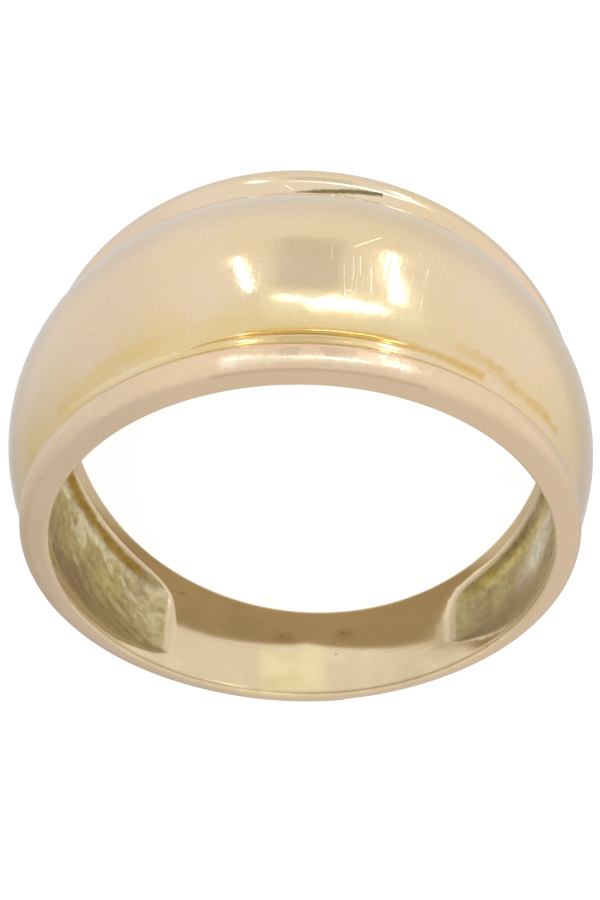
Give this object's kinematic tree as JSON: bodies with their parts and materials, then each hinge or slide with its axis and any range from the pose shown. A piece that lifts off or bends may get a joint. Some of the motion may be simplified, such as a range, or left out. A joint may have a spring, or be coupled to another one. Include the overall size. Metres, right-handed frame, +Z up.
{
  "type": "domed band ring",
  "caption": "Domed finger ring in polished yellow gold: a wide crown between two raised rims tapers to a narrow shank and is hollowed out inside.",
  "frame": {"origin": "the middle of the ring's outline, on the surface that it lies on", "axes": "+Z up, square to the flat side of the lower rim that it rests on; -Y towards the dome; +X across the ring. The finger axis leans back from +Z by 9.35 degrees, because the band tapers evenly from the dome to the shank."},
  "size_m": [0.0204, 0.0208, 0.0102],
  "materials": {
    "gold": "polished yellow gold, lightly worn and scratched, with a rough cast surface in the hollow"
  },
  "bodies": {
    "root": {"ring_band": "gold"}
  },
  "joints": []
}
